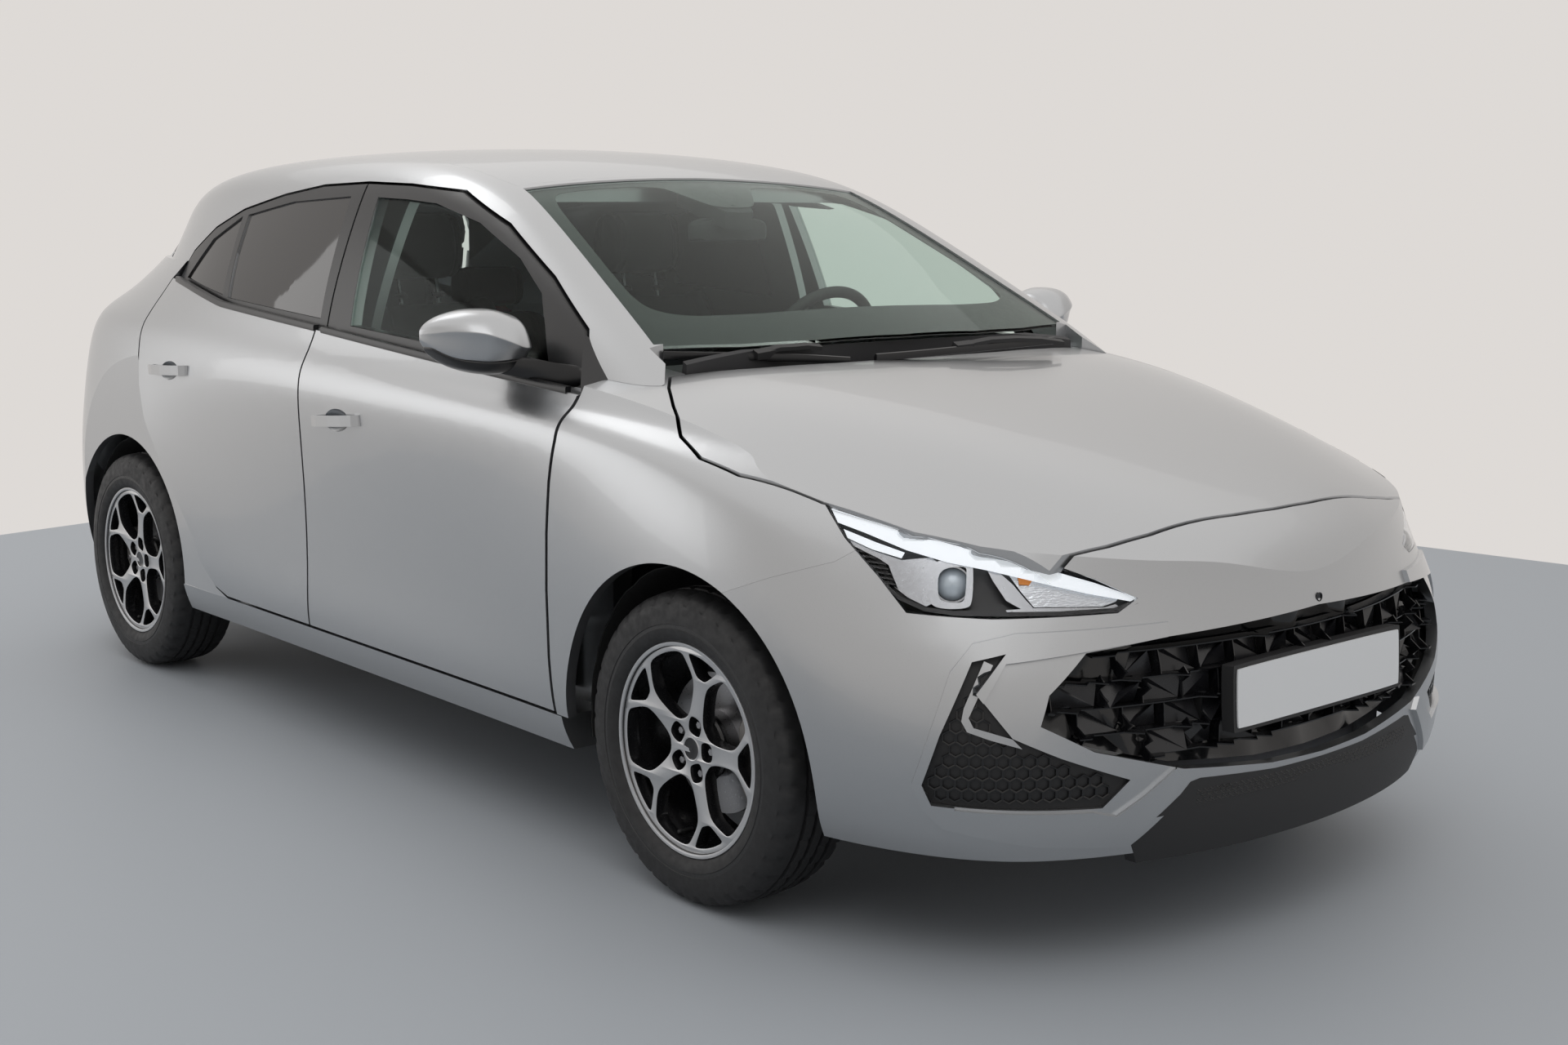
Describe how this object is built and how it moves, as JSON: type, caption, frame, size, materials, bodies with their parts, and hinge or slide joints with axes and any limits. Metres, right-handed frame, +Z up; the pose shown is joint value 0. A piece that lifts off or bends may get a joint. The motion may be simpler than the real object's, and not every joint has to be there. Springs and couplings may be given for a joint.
{
  "type": "hatchback car",
  "caption": "Five-door hatchback car with hinged doors, bonnet and tailgate, steered front wheels and free-turning wheels.",
  "frame": {"origin": "on the ground below the middle of the car's box", "axes": "+X forward, +Y to the car's left, +Z up"},
  "size_m": [4.1112, 1.9876, 1.4821],
  "materials": {
    "paint": "metallic silver paint",
    "black_plastic": "grained black plastic",
    "gloss_black": "gloss black",
    "window_glass": "faint green tint",
    "dark_glass": "privacy tint",
    "lamp_clear": "clear lamp cover",
    "lamp_red": "red lamp cover",
    "tyre": "black tyre",
    "alloy": "machined face with black pockets",
    "cabin_plastic": "soft dark grey",
    "seat_cloth": "dark woven cloth",
    "steel": "plain steel",
    "cast": "cast iron"
  },
  "bodies": {
    "root": {"front_bumper": "paint", "grille": "gloss_black", "front_valance": "black_plastic", "side_intakes": "gloss_black", "headlamp_left": "lamp_clear", "headlamp_right": "lamp_clear", "front_fender_left": "paint", "front_fender_right": "paint", "side_frame_left": "paint", "side_frame_right": "paint", "roof_panel": "paint", "windscreen": "window_glass", "floor_pan": "steel", "bulkhead": "steel", "dashboard": "cabin_plastic", "front_seats": "seat_cloth", "rear_seat": "seat_cloth", "front_subframe": "steel", "engine_block": "cast", "rear_axle": "steel", "exhaust": "steel", "tail_lamps": "lamp_red", "rear_bumper": "paint"},
    "front_door_left": {"door_front_left": "paint", "glass_front_left": "window_glass", "mirror_left": "paint"},
    "rear_door_left": {"door_rear_left": "paint", "glass_rear_left": "dark_glass"},
    "knuckle_left": {"knuckle_left": "cast"},
    "wheel_front_left": {"wheel_front_left": "alloy", "tyre_front_left": "tyre"},
    "wheel_rear_left": {"wheel_rear_left": "alloy", "tyre_rear_left": "tyre"},
    "front_door_right": {"door_front_right": "paint", "glass_front_right": "window_glass", "mirror_right": "paint"},
    "rear_door_right": {"door_rear_right": "paint", "glass_rear_right": "dark_glass"},
    "knuckle_right": {"knuckle_right": "cast"},
    "wheel_front_right": {"wheel_front_right": "alloy", "tyre_front_right": "tyre"},
    "wheel_rear_right": {"wheel_rear_right": "alloy", "tyre_rear_right": "tyre"},
    "bonnet": {"bonnet": "paint"},
    "tailgate": {"tailgate": "paint", "tailgate_glass": "dark_glass"},
    "steering_wheel": {"steering_wheel": "cabin_plastic"}
  },
  "joints": [
    {"name": "steer_left", "type": "hinge", "parent": "root", "child": "knuckle_left", "pos_m": [1.203, 0.68, 0.215], "axis": [0, -0.2116, 0.9774], "range_deg": [-35, 35]},
    {"name": "steer_right", "type": "hinge", "parent": "root", "child": "knuckle_right", "pos_m": [1.203, -0.68, 0.215], "axis": [0, 0.2116, 0.9774], "range_deg": [-35, 35]},
    {"name": "roll_front_left", "type": "hinge", "parent": "knuckle_left", "child": "wheel_front_left", "pos_m": [1.203, 0.762, 0.31], "axis": [0, 1, 0], "continuous": true},
    {"name": "roll_rear_left", "type": "hinge", "parent": "root", "child": "wheel_rear_left", "pos_m": [-1.367, 0.762, 0.31], "axis": [0, 1, 0], "continuous": true},
    {"name": "roll_front_right", "type": "hinge", "parent": "knuckle_right", "child": "wheel_front_right", "pos_m": [1.203, -0.762, 0.31], "axis": [0, 1, 0], "continuous": true},
    {"name": "roll_rear_right", "type": "hinge", "parent": "root", "child": "wheel_rear_right", "pos_m": [-1.367, -0.762, 0.31], "axis": [0, 1, 0], "continuous": true},
    {"name": "open_front_door_left", "type": "hinge", "parent": "root", "child": "front_door_left", "pos_m": [0.725, 0.853, 0.65], "axis": [0, 0, -1], "range_deg": [0, 68]},
    {"name": "open_rear_door_left", "type": "hinge", "parent": "root", "child": "rear_door_left", "pos_m": [-0.352, 0.846, 0.65], "axis": [0, 0, -1], "range_deg": [0, 68]},
    {"name": "open_front_door_right", "type": "hinge", "parent": "root", "child": "front_door_right", "pos_m": [0.725, -0.853, 0.65], "axis": [0, 0, 1], "range_deg": [0, 68]},
    {"name": "open_rear_door_right", "type": "hinge", "parent": "root", "child": "rear_door_right", "pos_m": [-0.352, -0.846, 0.65], "axis": [0, 0, 1], "range_deg": [0, 68]},
    {"name": "open_bonnet", "type": "hinge", "parent": "root", "child": "bonnet", "pos_m": [0.93, 0, 0.981], "axis": [0, -1, 0], "range_deg": [0, 52]},
    {"name": "open_tailgate", "type": "hinge", "parent": "root", "child": "tailgate", "pos_m": [-1.675, 0, 1.345], "axis": [0, 1, 0], "range_deg": [0, 78]},
    {"name": "turn_steering_wheel", "type": "hinge", "parent": "root", "child": "steering_wheel", "pos_m": [0.228, 0.36, 0.947], "axis": [-0.9063, 0, 0.4226], "range_deg": [-495, 495]}
  ],
  "couplings": [
    {"joint": "steer_right", "follows": "steer_left", "ratio": 1},
    {"joint": "turn_steering_wheel", "follows": "steer_left", "ratio": 14}
  ]
}
